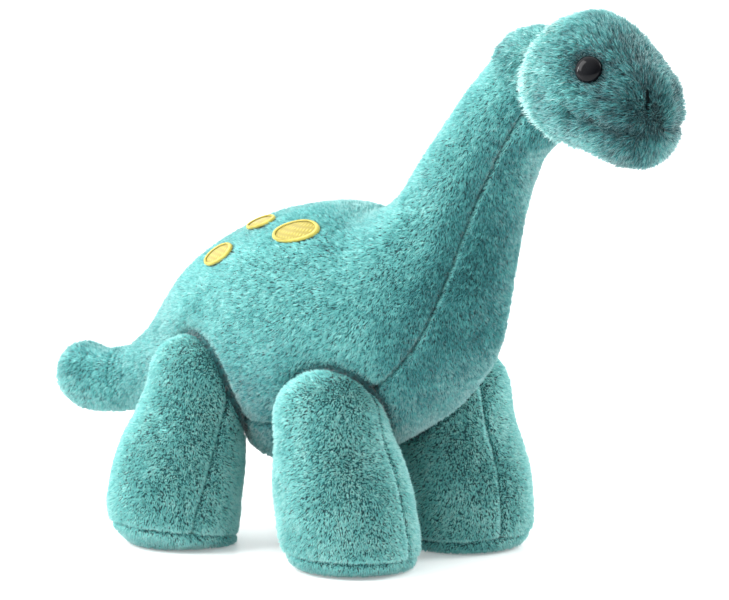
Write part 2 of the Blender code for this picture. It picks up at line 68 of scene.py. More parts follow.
# body and head: X, Z, lean in degrees, reach above, below and to each side of the spine
BODY = (
    (-128.5, 39.1, 0, 0.6, 0.6, 0.6),
    (-127.9, 39.1, 0, 6.8, 7.4, 6.2),
    (-124.8, 39.1, 0, 9.9, 10.2, 9.0),
    (-110.5, 38.8, 3, 10.9, 11.2, 10.2),
    (-93.5, 41.5, 16, 11.8, 12.1, 11.2),
    (-80.1, 47.1, 26, 14.3, 15.5, 14.0),
    (-64.0, 55.2, 26, 20.5, 23.6, 20.5),
    (-47.0, 62.0, 18, 29.1, 32.2, 27.9),
    (-28.4, 65.7, 8, 35.3, 40.3, 32.9),
    (-6.7, 67.6, 2, 39.4, 41.5, 34.7),
    (16.0, 73.2, 18, 36.0, 37.2, 32.9),
    (30.8, 83.7, 40, 29.5, 32.2, 27.9),
    (42.3, 100.8, 55, 22.3, 24.5, 21.1),
    (52.2, 117.8, 57, 18.0, 19.2, 17.4),
    (60.9, 131.4, 54, 15.8, 16.7, 15.5),
    (69.9, 143.2, 50, 14.9, 14.9, 14.9),
)
BALL_STEPS = (0.0, 22.0, 44.0, 64.0, 80.0, 88.0)
HEAD = (
    (84.5, 150.8, 6, 14.6, 14.6, 13.6),
    (87.0, 151.3, 4, 19.5, 17.7, 18.0),
    (94.1, 151.6, 0, 22.0, 18.9, 19.8),
    (102.5, 151.0, 0, 23.2, 19.2, 20.5),
    (111.1, 148.8, -3, 21.7, 19.2, 18.9),
    (118.0, 146.0, -7, 17.7, 17.7, 16.7),
    (122.9, 143.5, -11, 14.0, 14.9, 14.0),
    (126.6, 141.7, -13, 8.7, 10.2, 9.6),
    (128.4, 140.8, -13, 2.9, 3.4, 3.4),
    (128.6, 140.7, -13, 0.5, 0.5, 0.5),
)
# legs, bottom to ball: height, X, Y, reach in X, reach in Y, outward lift in degrees
FRONT_LEG = (
    (0.0, 25.3, 25.4, 13.0, 13.0, 0),
    (0.9, 25.3, 25.4, 18.0, 18.0, 2),
    (4.0, 25.3, 25.4, 21.4, 20.8, 2),
    (10.9, 24.7, 25.7, 22.9, 22.0, 1),
    (20.2, 23.4, 26.4, 22.6, 21.4, 0),
    (31.0, 21.2, 26.7, 20.8, 19.5, 0),
    (40.0, 19.6, 26.7, 18.2, 17.7, 0),
)
REAR_LEG = (
    (0.0, -40.1, 37.2, 12.4, 12.4, 0),
    (0.9, -40.1, 37.2, 17.1, 17.4, 8),
    (4.0, -40.5, 37.2, 20.5, 20.2, 8),
    (10.9, -40.5, 37.2, 22.0, 21.7, 7),
    (20.2, -39.8, 36.3, 22.0, 21.1, 5),
    (31.0, -39.8, 33.9, 20.6, 19.2, 3),
    (42.0, -39.6, 29.6, 17.9, 17.4, 0),
)
CHEST_SEAM = 223.0
CHIN_SEAM = 232.0
EYE_AT = np.array((112.1, 16.3, 159.4))
EYE_AXIS = np.array((0.37, 0.84, 0.40)) / np.linalg.norm((0.37, 0.84, 0.40))
EYE_R = 4.1
NOSTRIL = ((126.6, 5.6, 153.6), (127.6, 6.2, 150.6), (128.2, 6.8, 147.2))
SMILE = ((107.2, 19.3, 145.6), (111.9, 18.1, 144.0), (116.9, 16.7, 142.8), (123.4, 13.1, 141.3),
         (126.9, 8.6, 140.9), (128.4, 3.3, 141.1), (128.5, 0.0, 141.2))
SPOTS = (("a", 0.497, 54.0, 9.3, 4.6), ("b", 0.386, 46.5, 6.9, 3.8), ("c", 0.423, 65.5, 6.0, 3.1))


def smooth_rows(ts, rows, t):
    ts = np.asarray(ts, float)
    rows = np.asarray(rows, float)
    step = np.diff(ts)[:, None]
    slope = np.diff(rows, axis=0) / step
    m = np.zeros_like(rows)
    m[1:-1] = (slope[:-1] * step[1:] + slope[1:] * step[:-1]) / (step[1:] + step[:-1])
    m[0] = slope[0]
    m[-1] = slope[-1]
    t = np.clip(np.atleast_1d(np.asarray(t, float)), ts[0], ts[-1])
    i = np.clip(np.searchsorted(ts, t, side="right") - 1, 0, len(ts) - 2)
    h = (ts[i + 1] - ts[i])[:, None]
    u = (t - ts[i])[:, None] / h
    return ((2 * u**3 - 3 * u**2 + 1) * rows[i] + (u**3 - 2 * u**2 + u) * h * m[i]
            + (3 * u**2 - 2 * u**3) * rows[i + 1] + (u**3 - u**2) * h * m[i + 1])


class Form:
    """A rounded form: t runs 0 to 1 from one end to the other, the angle runs round it."""

    def __init__(self, stations, kind):
        self.rows = a = np.asarray(stations, float)
        self.kind = kind
        if kind == "spine":
            d = np.hypot(np.diff(a[:, 0]), np.diff(a[:, 1])) + 0.35 * np.abs(np.diff(a[:, 3]))
        else:
            d = np.abs(np.diff(a[:, 0])) + 0.7 * np.abs(np.diff(a[:, 3]))
        self.d = np.r_[0, np.cumsum(d)]

    def t_of(self, station):
        return self.d[station] / self.d[-1]

    def point(self, t, degrees):
        r = smooth_rows(self.d, self.rows, np.asarray(t) * self.d[-1])
        th = np.radians(np.asarray(degrees, float))
        c, s = np.cos(th), np.sin(th)
        lean = np.radians(r[:, 2] if self.kind == "spine" else r[:, 5])
        if self.kind == "spine":
            v = np.maximum(np.where(s >= 0, r[:, 3], r[:, 4]), 0.3) * s
            return np.stack([r[:, 0] - np.sin(lean) * v, np.maximum(r[:, 5], 0.3) * c,
                             r[:, 1] + np.cos(lean) * v], -1)
        q = np.maximum(r[:, 4], 0.3) * s
        return np.stack([r[:, 1] + np.maximum(r[:, 3], 0.3) * c, r[:, 2] + q * np.cos(lean),
                         np.maximum(r[:, 0] + q * np.sin(lean), 0.0)], -1)

    def grid(self, t, degrees):
        """Points for every t and angle of two equal arrays, in the frame's place."""
        t, degrees = np.broadcast_arrays(np.asarray(t, float), np.asarray(degrees, float))
        p = self.point(t.ravel(), degrees.ravel()).reshape(t.shape + (3,))
        p[..., 0] += FORWARD
        return p


def ball_end(stations, pivot, radius, lean):
    out = list(stations)
    a = math.radians(90 - lean)
    for deg in BALL_STEPS:
        along = radius * math.sin(math.radians(deg))
        r = radius * math.cos(math.radians(deg))
        out.append((pivot[0] + along * math.sin(a), pivot[2] + along * math.cos(a), lean, r, r, r))
    return out


def ball_top(stations, pivot, radius):
    out = list(stations)
    for deg in BALL_STEPS:
        r = radius * math.cos(math.radians(deg))
        out.append((pivot[2] + radius * math.sin(math.radians(deg)), pivot[0], pivot[1], r, r, 0))
    return out


# ---------------------------------------------------------------- small tools
def unit(v):
    return v / (np.linalg.norm(v, axis=-1, keepdims=True) + 1e-12)


def hashed(ix, iy, iz, seed):
    h = (ix * 374761393 + iy * 668265263 + iz * 2147483647 + seed * 1274126177) & 0xFFFFFFFF
    h = ((h ^ (h >> 13)) * 1274126177) & 0xFFFFFFFF
    h = ((h ^ (h >> 16)) * 2246822519) & 0xFFFFFFFF
    return ((h ^ (h >> 15)) & 0xFFFFFF) / float(0xFFFFFF) * 2 - 1


def noise(p, size, seed):
    """Smooth noise from -1 to 1 at points p, with features of about that size."""
    q = np.asarray(p, float) / size + 91.7
    i = np.floor(q).astype(np.int64)
    f = q - i
    u = f * f * (3 - 2 * f)
    out = np.zeros(q.shape[:-1])
    for dx in (0, 1):
        wx = u[..., 0] if dx else 1 - u[..., 0]
        for dy in (0, 1):
            wy = u[..., 1] if dy else 1 - u[..., 1]
            for dz in (0, 1):
                wz = u[..., 2] if dz else 1 - u[..., 2]
                out += wx * wy * wz * hashed(i[..., 0] + dx, i[..., 1] + dy, i[..., 2] + dz, seed)
    return out


def noise3(p, size, seed):
    return np.stack([noise(p, size, seed + k) for k in range(3)], -1)


def bump(d, width):
    return np.exp(-(d / width) ** 2)


def to_polyline(p, path):
    """Distance from each point to a polyline."""
    best = np.full(p.shape[:-1], 1e9)
    path = np.asarray(path, float)
    for a, b in zip(path[:-1], path[1:]):
        ab = b - a
        s = np.clip(((p - a) @ ab) / (ab @ ab), 0, 1)
        best = np.minimum(best, np.linalg.norm(p - (a + s[..., None] * ab), axis=-1))
    return best


def grid_normals(p):
    return unit(np.cross(np.gradient(p, axis=1), np.gradient(p, axis=0)))


def grid_faces(n, m):
    a = np.arange(n * m).reshape(n, m)
    return np.stack([a[:-1, :-1], a[:-1, 1:], a[1:, 1:], a[1:, :-1]], -1)


def ring_faces(rings, columns):
    """Faces between the rings of a closed tube."""
    idx = np.arange(rings * columns).reshape(rings, columns)
    nxt = np.roll(idx, -1, 1)
    return np.stack([idx[:-1], nxt[:-1], nxt[1:], idx[1:]], -1).reshape(-1, 4)


def mesh_from(name, verts, faces, materials, slots=None, smooth=True):
    """A mesh object from millimetre points and equal-sided faces, made in bulk."""
    verts = np.asarray(verts, float)
    faces = np.asarray(faces, np.int32)
    k = faces.shape[1]
    me = bpy.data.meshes.new(name)
    me.vertices.add(len(verts))
    me.vertices.foreach_set("co", (verts * MM).astype(np.float32).ravel())
    me.loops.add(len(faces) * k)
    me.loops.foreach_set("vertex_index", faces.ravel())
    me.polygons.add(len(faces))
    me.polygons.foreach_set("loop_start", np.arange(0, len(faces) * k, k, dtype=np.int32))
    if slots is not None:
        me.polygons.foreach_set("material_index", np.asarray(slots, np.int32))
    me.update(calc_edges=True)
    me.polygons.foreach_set("use_smooth", np.full(len(faces), smooth))
    for m in materials:
        me.materials.append(m)
    me.update()
    obj = bpy.data.objects.new(name, me)
    bpy.context.scene.collection.objects.link(obj)
    return obj


# ---------------------------------------------------------------- materials
def srgb(r, g, b):
    def lin(c):
        c /= 255.0
        return c / 12.92 if c <= 0.04045 else ((c + 0.055) / 1.055) ** 2.4
    return (lin(r), lin(g), lin(b), 1.0)


def new_material(name):
    mat = bpy.data.materials.new(name)
    mat.use_nodes = True
    tree = mat.node_tree
    return mat, tree, tree.nodes["Principled BSDF"]


def link(tree, a, b):
    tree.links.new(a, b)


def pile_material(name, colour, sheen=0.7, rough=0.7):
    """One shade of the pile's fibres."""
    mat, _, bsdf = new_material(name)
    bsdf.inputs["Base Color"].default_value = colour
    bsdf.inputs["Roughness"].default_value = rough
    bsdf.inputs["Specular IOR Level"].default_value = 0.25
    bsdf.inputs["Sheen Weight"].default_value = sheen
    bsdf.inputs["Sheen Roughness"].default_value = 0.45
    bsdf.inputs["Sheen Tint"].default_value = (0.75, 1.0, 0.98, 1.0)
    return mat


def backing_and_shade_material(name, dark, light, grain):
    """The knitted backing under the pile, with the pile's roots on it; its dark colours are partly its own
    and partly painted shade between the tufts.
    """
    mat, tree, bsdf = new_material(name)
    coord = tree.nodes.new("ShaderNodeTexCoord")
    big = tree.nodes.new("ShaderNodeTexNoise")
    big.inputs["Scale"].default_value = 90.0
    big.inputs["Detail"].default_value = 3.0
    fine = tree.nodes.new("ShaderNodeTexVoronoi")
    fine.inputs["Scale"].default_value = grain
    mix = tree.nodes.new("ShaderNodeMath")
    mix.operation = "MULTIPLY"
    ramp = tree.nodes.new("ShaderNodeValToRGB")
    ramp.color_ramp.elements[0].color = dark
    ramp.color_ramp.elements[0].position = 0.05
    ramp.color_ramp.elements[1].color = light
    ramp.color_ramp.elements[1].position = 0.6
    bmp = tree.nodes.new("ShaderNodeBump")
    bmp.inputs["Strength"].default_value = 0.6
    bmp.inputs["Distance"].default_value = 0.0008
    for n in (big, fine):
        link(tree, coord.outputs["Object"], n.inputs["Vector"])
    link(tree, big.outputs["Fac"], mix.inputs[0])
    link(tree, fine.outputs["Distance"], mix.inputs[1])
    link(tree, mix.outputs[0], ramp.inputs["Fac"])
    link(tree, ramp.outputs["Color"], bsdf.inputs["Base Color"])
    link(tree, fine.outputs["Distance"], bmp.inputs["Height"])
    link(tree, bmp.outputs["Normal"], bsdf.inputs["Normal"])
    bsdf.inputs["Roughness"].default_value = 0.9
    bsdf.inputs["Sheen Weight"].default_value = 0.3
    return mat


def speckled(tree, bsdf, scale, dark, light):
    """A base colour that wanders between two shades."""
    coord = tree.nodes.new("ShaderNodeTexCoord")
    wander = tree.nodes.new("ShaderNodeTexNoise")
    wander.inputs["Scale"].default_value = scale
    ramp = tree.nodes.new("ShaderNodeValToRGB")
    ramp.color_ramp.elements[0].color = dark
    ramp.color_ramp.elements[1].color = light
    link(tree, coord.outputs["Object"], wander.inputs["Vector"])
    link(tree, wander.outputs["Fac"], ramp.inputs["Fac"])
    link(tree, ramp.outputs["Color"], bsdf.inputs["Base Color"])


# seven fibre tones, dark to light: tufts pick among them by random tone and by painted light and shade, so
# the darkest tones mostly carry painted shade and the palest head tone painted rim light
BODY_SHADES = [pile_material("pile_body_%d" % k, srgb(*c)) for k, c in enumerate((
    (30, 102, 107), (50, 128, 131), (72, 153, 154), (92, 176, 175), (111, 194, 192), (134, 211, 207),
    (168, 228, 223)))]
HEAD_SHADES = [pile_material("pile_head_%d" % k, srgb(*c), 0.7, 0.6) for k, c in enumerate((
    (18, 72, 79), (33, 99, 104), (52, 128, 131), (73, 155, 156), (97, 180, 178), (126, 203, 200),
    (190, 232, 229)))]
# dark backing colours: the backing's own colour and painted shade deep between the tufts
BODY_BACKING_AND_SHADE = backing_and_shade_material("backing_body_and_shade", srgb(8, 46, 50), srgb(36, 108, 110), 900.0)
HEAD_BACKING_AND_SHADE = backing_and_shade_material("backing_head_and_shade", srgb(6, 36, 41), srgb(28, 92, 96), 800.0)

# ---------------------------------------------------------------- forms
body_form = Form(ball_end(BODY, NECK_PIVOT, NECK_BALL, NECK_LEAN), "spine")
head_form = Form(HEAD, "spine")
front_form = Form(ball_top(FRONT_LEG, FRONT_PIVOT, FRONT_BALL), "leg")
rear_form = Form(ball_top(REAR_LEG, REAR_PIVOT, REAR_BALL), "leg")


REACH = 9.0            # how far off a form's surface is felt


class Surface:
    """A form's plain surface, for telling how far a point is outside it."""

    def __init__(self, form, mirror=False, rows=90, columns=96):
        t, d = np.meshgrid(np.linspace(0, 1, rows), np.linspace(0, 360, columns + 1), indexing="ij")
        p = form.grid(t, d)
        if mirror:
            p[..., 1] *= -1
        f = grid_faces(rows, columns + 1).reshape(-1, 4)
        self.low, self.high = p.reshape(-1, 3).min(0), p.reshape(-1, 3).max(0)
        self.tree = BVHTree.FromPolygons(p.reshape(-1, 3).tolist(), f.tolist())
        middle = p[rows // 2]
        way = middle[0] - middle.mean(0)
        hit = self.tree.find_nearest(Vector(middle[0] + way))
        self.sign = 1.0 if hit[1].dot(Vector(way)) > 0 else -1.0

    def distance(self, p, reach=REACH):
        """Signed distance, positive outside, for points nearer than reach, else reach."""
        flat = p.reshape(-1, 3)
        out = np.full(len(flat), reach)
        close = np.all((flat > self.low - reach) & (flat < self.high + reach), axis=1)
        for k in np.nonzero(close)[0]:
            q = Vector(flat[k])
            place, normal, _, d = self.tree.find_nearest(q)
            if place is not None:
                side = (q - place).dot(normal) * self.sign
                out[k] = min(d, reach) if side >= 0 else -d
        return out.reshape(p.shape[:-1])


body_surface = Surface(body_form, rows=200, columns=128)
head_surface = Surface(head_form, rows=60)
leg_surfaces = {}
for place, form in (("front", front_form), ("rear", rear_form)):
    for side in ("left", "right"):
        leg_surfaces[place + "_" + side] = Surface(form, side == "right")


def lumps(p):
    """The stuffing's gentle lumps."""
    return 0.55 * noise(p, 24.0, 3) + 0.28 * noise(p, 10.0, 4)


def pucker(p, d):
    """Short gathers beside a seam."""
    return 0.22 * noise(p, 2.6, 9) * bump(d, 4.0)


def sewn(d, depth, width, soft):
    """How far a seam pulls the cloth in, at distance d from it."""
    return -(depth * bump(d, width) + soft * bump(d, 5.0))


def edge_distance(p):
    """Along each row of a panel's grid, the distance to its two edges."""
    step = np.linalg.norm(np.diff(p, axis=1), axis=2)
    run = np.concatenate([np.zeros((len(p), 1)), np.cumsum(step, axis=1)], axis=1)
    return run, run[:, -1:] - run


panels = {}      # name -> dict with points, normals, groom, length, clear and so on


def add_panel(name, p, n, **facts):
    panels[name] = dict(p=p, n=n, **facts)


def rise(v, low, high):
    """0 below low, 1 above high, smooth between."""
    u = np.clip((v - low) / (high - low), 0, 1)
    return u * u * (3 - 2 * u)


def body_tone(p, n):
    """Painted shade on the pile, by place on the body: darker low on the trunk, on the chest, on top and
    towards the tail.
    """
    trunk = rise(p[..., 0], -75.0, -45.0)
    low = 1 - rise(p[..., 2], 40.0, 78.0)
    chest = rise(p[..., 0], 22.0, 42.0) * rise(n[..., 0] - 0.35 * n[..., 2], 0.1, 0.8)
    top = rise(n[..., 2], 0.55, 0.9)
    return -2.3 * trunk * np.maximum(low, chest) - 0.9 * top - 0.8 * (1 - trunk)


# ---------------------------------------------------------------- body
T_TAIL, T_BELLY = body_form.t_of(5), body_form.t_of(7)


def gusset_edge(t):
    """The angle of the gusset's seam, from the tail's underside out to the chest's sides."""
    return 270 - (270 - CHEST_SEAM) * rise(t, T_TAIL, T_BELLY)


N_ROWS = 340
body_t = np.concatenate([np.linspace(0, body_form.t_of(2), 14)[:-1],
                         np.linspace(body_form.t_of(2), 0.999, N_ROWS)])
edge = gusset_edge(body_t)
cuts = {
    "body_right": (np.full_like(body_t, 90.0), edge, 110),
    "body_left": (180 - edge, np.full_like(body_t, 90.0), 110),
    "chest_belly": (edge, 540 - edge, 90),
}
# rings in the tail's pile: X and depth
CREASES = ((-101.3, 0.9), (-98.9, 1.1), (-96.6, 0.9), (-94.2, 0.7), (-109.0, 0.4))
# where the stuffed shape departs from the plain form: centre on the left half, reach, how far out
STUFFING = (
    ((72.0, 0, 165.0), 11.0, -2.6),      # the neck runs straight to the crown
    ((82.0, 0, 137.5), 9.0, 3.4),        # the throat reaches under the chin
    ((27.0, 0, 116.0), 13.0, -2.4),      # behind the neck's foot
    ((-52.0, 0, 96.0), 24.0, -1.5),      # the rump
    ((-129.0, 0, 39.0), 8.0, 1.3),       # the tail's tip
    ((-114.0, 0, 50.0), 10.0, -0.9),     # the tail's top
    ((-114.0, 0, 28.0), 10.0, 0.6),      # the tail's underside
    ((-26.0, 12.0, 27.0), 12.0, 2.6),    # the belly before the rear legs
)
for name, (low, high, columns) in cuts.items():
    rows = slice(None)
    if name == "chest_belly":
        rows = np.nonzero(body_t > T_TAIL + 0.012)[0]
    u = np.linspace(0, 1, columns + 1)
    deg = low[rows, None] + (high - low)[rows, None] * u[None, :]
    tt = np.broadcast_to(body_t[rows, None], deg.shape)
    p = body_form.grid(tt, deg)
    n = grid_normals(p)
    along = unit(np.gradient(p, axis=0))
    from_low, from_high = edge_distance(p)
    seam = np.minimum(from_low, from_high)
    back = from_high if name == "body_left" else from_low if name == "body_right" else seam * 0 + 99
    side_seam = from_low if name == "body_left" else from_high if name == "body_right" else seam
    in_tail = np.clip((p[..., 0] + 70) / -20, 0, 1)
    out = lumps(p) + pucker(p, side_seam) - BODY_INSET
    out += sewn(side_seam, 1.5, 0.8, 0.75) * (1 - 0.6 * in_tail)
    out += -0.30 * bump(back, 1.1) * (0.4 + 0.6 * in_tail)
    for x, depth in CREASES:
        ring = p[..., 0] + 0.25 * (p[..., 2] - 42) - x + 0.9 * noise(p, 9.0, 31)
        out -= depth * bump(ring, 0.75) * np.clip(1.2 - back / 34, 0, 1)
    legs = np.full(out.shape, REACH)
    for s in leg_surfaces.values():
        legs = np.minimum(legs, s.distance(p))
    near = np.abs(legs)
    out += -0.5 * bump(near, 1.2) - 0.2 * bump(near, 4.0)
    mirrored = p * (1, 0, 1) + np.abs(p) * (0, 1, 0)
    for centre, reach, by in STUFFING:
        out += by * bump(np.linalg.norm(mirrored - centre, axis=-1), reach)
    neck = head_surface.distance(p)
    out += -0.5 * bump(np.abs(neck), 1.6)
    place = p + n * out[..., None]
    nn = grid_normals(place)
    # the pile's painted shade by place on the body goes in with the panel
    add_panel(name, place, nn, groom=unit(-along * 0.75 + np.array((0, 0, -0.65))),
              seam=np.minimum(np.minimum(side_seam, near), np.abs(neck) + 0.6), hidden=np.minimum(legs, neck),
              tone=body_tone(place, nn), body="body", kind="body")

# ---------------------------------------------------------------- head
N_ROWS = 110
head_t = np.linspace(0, 0.997, N_ROWS)
COLLAR_ROWS = 14
smile_path = np.array(list(SMILE) + [(x, -y, z) for x, y, z in SMILE[-2::-1]])
smile_path = smooth_rows(range(len(smile_path)), smile_path, np.linspace(0, len(smile_path) - 1, 40))
smile_path[:, 0] += FORWARD
for name, low, high, columns in (("head_right", 90.0, CHIN_SEAM, 130),
                                 ("head_left", 180 - CHIN_SEAM, 90.0, 130),
                                 ("chin", CHIN_SEAM, 540 - CHIN_SEAM, 70)):
    deg, tt = np.meshgrid(np.linspace(low, high, columns + 1), head_t)
    p = head_form.grid(tt, deg)
    # the back edge curves forward over the crown and under the chin
    up_share = np.sin(np.radians(deg))
    ahead = np.where(up_share > 0, 5.0 * up_share**2, 9.5 * up_share**2)
    p[..., 0] += ahead * np.clip((103.0 - p[..., 0]) / 18.5, 0, 1)
    # the rim turns in to the neck's round end, so the head is closed behind
    tuck = np.linspace(1.0, 0.06, COLLAR_ROWS)[:, None, None]
    pivot = np.array(NECK_PIVOT) + (FORWARD, 0, 0)
    lean = math.radians(NECK_LEAN)
    rise_part, side_part = np.sin(np.radians(deg[0])), np.cos(np.radians(deg[0]))
    neck_way = np.stack([-math.sin(lean) * rise_part, side_part, math.cos(lean) * rise_part], -1)
    rim_reach = np.linalg.norm(p[0] - pivot, axis=-1, keepdims=True)
    way = unit((p[0] - pivot) / rim_reach * (1 - tuck) + neck_way * tuck)
    collar = pivot + way * (rim_reach * (1 - tuck) + (NECK_BALL + 1.0) * tuck)
    p = np.concatenate([collar, p])
    deg = np.concatenate([deg[:COLLAR_ROWS], deg])
    tt = np.concatenate([tt[:COLLAR_ROWS] * 0, tt])
    n = grid_normals(p)
    along = unit(np.gradient(p, axis=0))
    rim = tt * head_form.d[-1] - head_form.d[1]
    rim[:COLLAR_ROWS] -= 10 * tuck[..., 0]
    hidden = np.full(tt.shape, REACH)
    hidden[:COLLAR_ROWS] = body_surface.distance(p[:COLLAR_ROWS]) + 0.5
    out = 0.5 * lumps(p) + 0.7 * bump(rim - 1.0, 3.2) - HEAD_INSET
    smile = to_polyline(p, smile_path)
    mouth = 0.15 + 0.85 * rise(np.abs(p[..., 1]), 7.0, 14.0)
    lips = 0.25 + 0.75 * rise(np.abs(p[..., 1]), 2.0, 8.0)
    out += mouth * (-1.9 * bump(smile, 1.4) - 0.5 * bump(smile, 4.0)) + 0.9 * rise(p[..., 0], 116.0, 125.0)
    ends = np.minimum(np.linalg.norm(p - smile_path[0], axis=-1), np.linalg.norm(p - smile_path[-1], axis=-1))
    out += -1.6 * bump(ends, 2.0)
    eyes = np.full(out.shape, 99.0)
    slits = np.full(out.shape, 99.0)
    for sgn in (1, -1):
        c = EYE_AT * (1, sgn, 1) + (FORWARD, 0, 0)
        eyes = np.minimum(eyes, np.linalg.norm(p - c, axis=-1))
        nostril = to_polyline(p, np.array(NOSTRIL) * (1, sgn, 1) + (FORWARD, 0, 0))
        out += -0.7 * bump(nostril, 1.0)
        slits = np.minimum(slits, nostril)
    out += -1.0 * bump(eyes, 6.0)
    place = p + n * out[..., None]
    nn = grid_normals(place)
    # painted light and shade on the head's pile: lighter at the back rim (painted rim light), darker towards
    # the muzzle, and painted shade in the smile's crease and ends, round the eyes and in the nostrils
    add_panel(name, place, nn, groom=unit(-along * 0.8 + np.array((0, 0, -0.35))),
              seam=np.minimum(smile + 0.4 + 9 * (1 - mouth), 9), hidden=hidden,
              tone=3.0 * bump(rim, 5.5) - 0.8 * rise(p[..., 0], 92.0, 106.0)
              - 1.1 * rise(p[..., 0], 108.0, 121.0)
              - 2.2 * lips * bump(smile, 1.7) - 1.0 * bump(np.maximum(eyes - EYE_R, 0), 3.0)
              - 1.6 * bump(np.maximum(eyes - EYE_R, 0), 1.1) - 0.8 * bump(slits, 1.2) - 1.5 * bump(ends, 2.6),
              body="head", kind="head", eyes=eyes, nostril=slits)

# ---------------------------------------------------------------- legs
for place_name, form, pivot in (("front", front_form, FRONT_PIVOT), ("rear", rear_form, REAR_PIVOT)):
    t_sole = form.t_of(2)
    n_rows = 110
    leg_t = np.linspace(t_sole, 0.999, n_rows)
    sole_t = np.linspace(0.0, t_sole, 18)
    if place_name == "front":
        seam_deg = np.full_like(leg_t, -14.0)
    else:
        seam_deg = 32.0 - 24.0 * np.minimum(leg_t / 0.6, 1.0)
    for side in ("left", "right"):
        sgn = 1 if side == "left" else -1
        for part in ("outer", "inner", "sole"):
            columns = 80
            if part == "sole":
                u = np.linspace(0, 1, 2 * columns + 1)
                deg = np.broadcast_to(360 * u[None, :], (len(sole_t), len(u)))
                tt = np.broadcast_to(sole_t[:, None], deg.shape)
            else:
                u = np.linspace(0, 1, columns + 1)
                lo = seam_deg if part == "outer" else np.full_like(leg_t, 180.0)
                hi = np.full_like(leg_t, 180.0) if part == "outer" else 360 + seam_deg
                deg = lo[:, None] + (hi - lo)[:, None] * u[None, :]
                tt = np.broadcast_to(leg_t[:, None], deg.shape)
            p = form.grid(tt, deg)
            n = grid_normals(p)
            if part == "sole":
                n[:, 0] = n[:, -1] = unit(n[:, 0] + n[:, -1])
            along = unit(np.gradient(p, axis=0))
            p = p * (1, sgn, 1)
            n = n * (1, sgn, 1)
            along = along * (1, sgn, 1)
            from_low, from_high = edge_distance(p)
            seam = np.minimum(from_low, from_high) if part != "sole" else np.full(tt.shape, 99.0)
            ring = np.abs(tt - t_sole) * form.d[-1]
            inside = body_surface.distance(p)
            near = np.abs(inside)
            flat = bump(p[..., 2], 1.6)
            out = (lumps(p) + pucker(p, np.minimum(seam, ring)) - BODY_INSET) * (1 - flat) - 0.5 * flat
            out += sewn(seam, 1.1, 0.75, 0.45) * (1 - flat)
            out += -0.85 * bump(ring, 0.75) - 0.25 * bump(ring, 3.0)
            out += -0.5 * bump(near, 1.2) - 0.2 * bump(near, 4.0) + 0.4 * bump(inside - 11, 6.0)
            out -= 1.25 * bump(p[..., 2] - 13, 12.0) * (1 - flat)
            if place_name == "front":
                out += 1.7 * bump(p[..., 2] - 49, 9.0) * np.clip(-n[..., 0], 0, 1)
            place = p + n * out[..., None]
            place[..., 2] = np.maximum(place[..., 2], 0.0)
            nn = unit(np.cross(np.gradient(place, axis=1), np.gradient(place, axis=0))) * sgn
            if part == "sole":
                nn[:, 0] = nn[:, -1] = unit(nn[:, 0] + nn[:, -1])
            # painted light and shade on the leg's pile: lighter overall and towards the front (painted
            # light), darker at the foot next to the floor (painted shade)
            add_panel("leg_%s_%s_%s" % (place_name, side, part), place, nn,
                      groom=unit(-along + np.array((-0.15, 0, -0.3))),
                      seam=np.minimum(np.minimum(seam, ring), near), hidden=inside,
                      tone=0.9 + 0.5 * rise(place[..., 0] - pivot[0], 6.0, 18.0)
                      - 1.3 * (1 - rise(place[..., 2], 0.5, 6.0)),
                      body="leg_%s_%s" % (place_name, side), kind="leg", flip=sgn < 0)

# ---------------------------------------------------------------- spots on the back
spots = []
for key, t, deg, half_long, half_wide in SPOTS:
    c = body_form.grid([t], [deg])[0]
    e1 = unit(body_form.grid([t + 0.003], [deg])[0] - body_form.grid([t - 0.003], [deg])[0])
    e2 = unit(body_form.grid([t], [deg + 1.5])[0] - body_form.grid([t], [deg - 1.5])[0])
    for sgn, side in ((1, "left"), (-1, "right")):
        m = np.array((1, sgn, 1))
        spots.append(dict(name="spot_%s_%s" % (side, key), c=c * m, e1=e1 * m, e2=e2 * m,
                          a=half_long, b=half_wide, t=t, deg=deg, sgn=sgn))


def spot_share(p):
    """Below 1 inside a spot."""
    best = np.full(p.shape[:-1], 9.0)
    for s in spots:
        d = p - s["c"]
        r = np.sqrt((d @ s["e1"] / s["a"]) ** 2 + (d @ s["e2"] / s["b"]) ** 2)
        best = np.minimum(best, np.where(np.linalg.norm(d, axis=-1) < 14, r, 9.0))
    return best


# ---------------------------------------------------------------- pile
def sample(panel, per_mm2):
    """Random roots over a panel's grid: position, normal and the other grids' values there."""
    p = panel["p"]
    a, b, c, d = p[:-1, :-1], p[:-1, 1:], p[1:, 1:], p[1:, :-1]
    area = 0.5 * (np.linalg.norm(np.cross(b - a, c - a), axis=2)
                  + np.linalg.norm(np.cross(c - a, d - a), axis=2))
    keep = panel["hidden"][:-1, :-1] > -1.0
    area = area * keep
    total = area.sum()
    count = int(total * per_mm2)
    pick = np.searchsorted(np.cumsum(area.ravel()), rng.random(count) * total)
    pick = np.minimum(pick, area.size - 1)
    i, j = np.unravel_index(pick, area.shape)
    u, v = rng.random(count)[:, None], rng.random(count)[:, None]

    def at(g):
        g = g if g.ndim == 3 else g[..., None]
        r = ((1 - u) * (1 - v) * g[i, j] + u * (1 - v) * g[i, j + 1] + u * v * g[i + 1, j + 1]
             + (1 - u) * v * g[i + 1, j])
        return r if r.shape[1] > 1 else r[:, 0]

    return {k: at(panel[k]) for k in panel if isinstance(panel[k], np.ndarray)}


